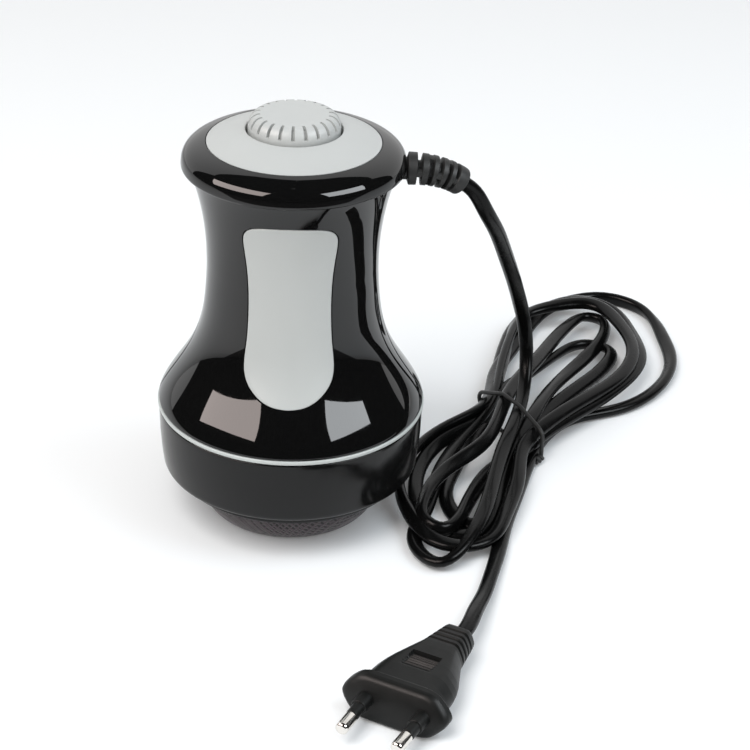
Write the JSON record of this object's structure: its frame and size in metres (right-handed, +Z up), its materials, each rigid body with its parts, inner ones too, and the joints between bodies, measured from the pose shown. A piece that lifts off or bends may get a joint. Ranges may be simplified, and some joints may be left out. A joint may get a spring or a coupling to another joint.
{
  "type": "handheld body massager",
  "caption": "Hand-held electric body massager with an hourglass body, a speed dial on top, a net-covered massage head below, and a mains lead tied in a hank with a two-pin plug.",
  "frame": {"origin": "on the floor plane under the centre of the body, which is also the centre of the net cover's flat end", "axes": "+Z up along the body's axis from the massage head to the dial, -Y out of the front panel, +X towards the side where the lead leaves"},
  "size_m": [0.1935, 0.2914, 0.1406],
  "materials": {
    "gloss_black": "moulded black plastic, polished like a piano lid",
    "satin_black": "moulded black plastic, satin",
    "soft_grey": "pale warm-grey plastic, satin",
    "panel_grey": "light grey plastic, satin",
    "trim_grey": "light grey trim ring",
    "net_brown": "fine open net, dark purple-brown",
    "rubber_black": "matt black rubber",
    "cord_black": "black PVC cord sheath, semi-gloss",
    "plug_black": "black moulded plug, satin",
    "nickel": "bright nickel plate",
    "steel": "plain steel",
    "zinc": "zinc-plated steel",
    "ferrite": "dark sintered magnet",
    "lamination": "steel core with lacquered copper windings",
    "inner_plastic": "natural moulded plastic",
    "board_green": "green circuit board",
    "capacitor_yellow": "yellow film capacitor case",
    "pot_metal": "pressed metal case",
    "aluminium": "bare aluminium",
    "head_white": "off-white moulded plastic"
  },
  "bodies": {
    "housing": {"front_shell": "gloss_black", "rear_shell": "gloss_black", "cap_collar": "gloss_black", "top_cap": "gloss_black", "skirt": "satin_black", "top_insert": "soft_grey", "front_panel": "panel_grey", "rear_panel": "panel_grey", "trim_ring": "trim_grey", "strain_relief": "rubber_black", "twist_tie": "rubber_black", "lead_cord": "cord_black", "cord_hank": "cord_black", "tail_cord": "cord_black", "inner_lead": "cord_black", "plug_body": "plug_black", "pin_sleeve_1": "plug_black", "pin_sleeve_2": "plug_black", "plug_pin_1": "nickel", "plug_pin_2": "nickel", "motor_can": "steel", "motor_mount": "zinc", "pot_nut": "zinc", "shell_screw_1": "zinc", "shell_screw_2": "zinc", "shell_screw_3": "zinc", "shell_screw_4": "zinc", "skirt_screw_1": "zinc", "skirt_screw_2": "zinc", "skirt_screw_3": "zinc", "skirt_screw_4": "zinc", "cap_screw_1": "zinc", "cap_screw_2": "zinc", "cap_screw_3": "zinc", "motor_screw_1": "zinc", "motor_screw_2": "zinc", "clamp_screw_1": "zinc", "clamp_screw_2": "zinc", "magnet_1": "ferrite", "magnet_2": "ferrite", "motor_end_cap": "inner_plastic", "cable_clamp": "inner_plastic", "control_board": "board_green", "capacitor": "capacitor_yellow", "speed_pot": "pot_metal", "heat_sink": "aluminium"},
    "dial": {"speed_dial": "soft_grey", "pot_shaft": "pot_metal"},
    "rotor": {"motor_shaft": "steel", "armature": "lamination", "eccentric_hub": "inner_plastic", "counterweight": "zinc", "bearing_inner_ring": "steel", "bearing_screw": "zinc"},
    "head": {"bearing_outer_ring": "steel", "drive_plate": "inner_plastic", "massage_head": "head_white"},
    "cover": {"mesh_cover": "net_brown", "cover_hoop": "satin_black"}
  },
  "joints": [
    {"name": "speed_dial_turn", "type": "hinge", "parent": "housing", "child": "dial", "pos_m": [0, 0, 0.135], "axis": [0, 0, -1], "range_deg": [0, 270]},
    {"name": "motor_turn", "type": "hinge", "parent": "housing", "child": "rotor", "pos_m": [0, 0, 0.05], "axis": [0, 0, 1], "continuous": true},
    {"name": "head_turn", "type": "hinge", "parent": "rotor", "child": "head", "pos_m": [0.0025, 0, 0.02], "axis": [0, 0, 1], "continuous": true},
    {"name": "cover_pull", "type": "slide", "parent": "housing", "child": "cover", "axis": [0, 0, -1], "range_m": [0, 0.03]}
  ]
}
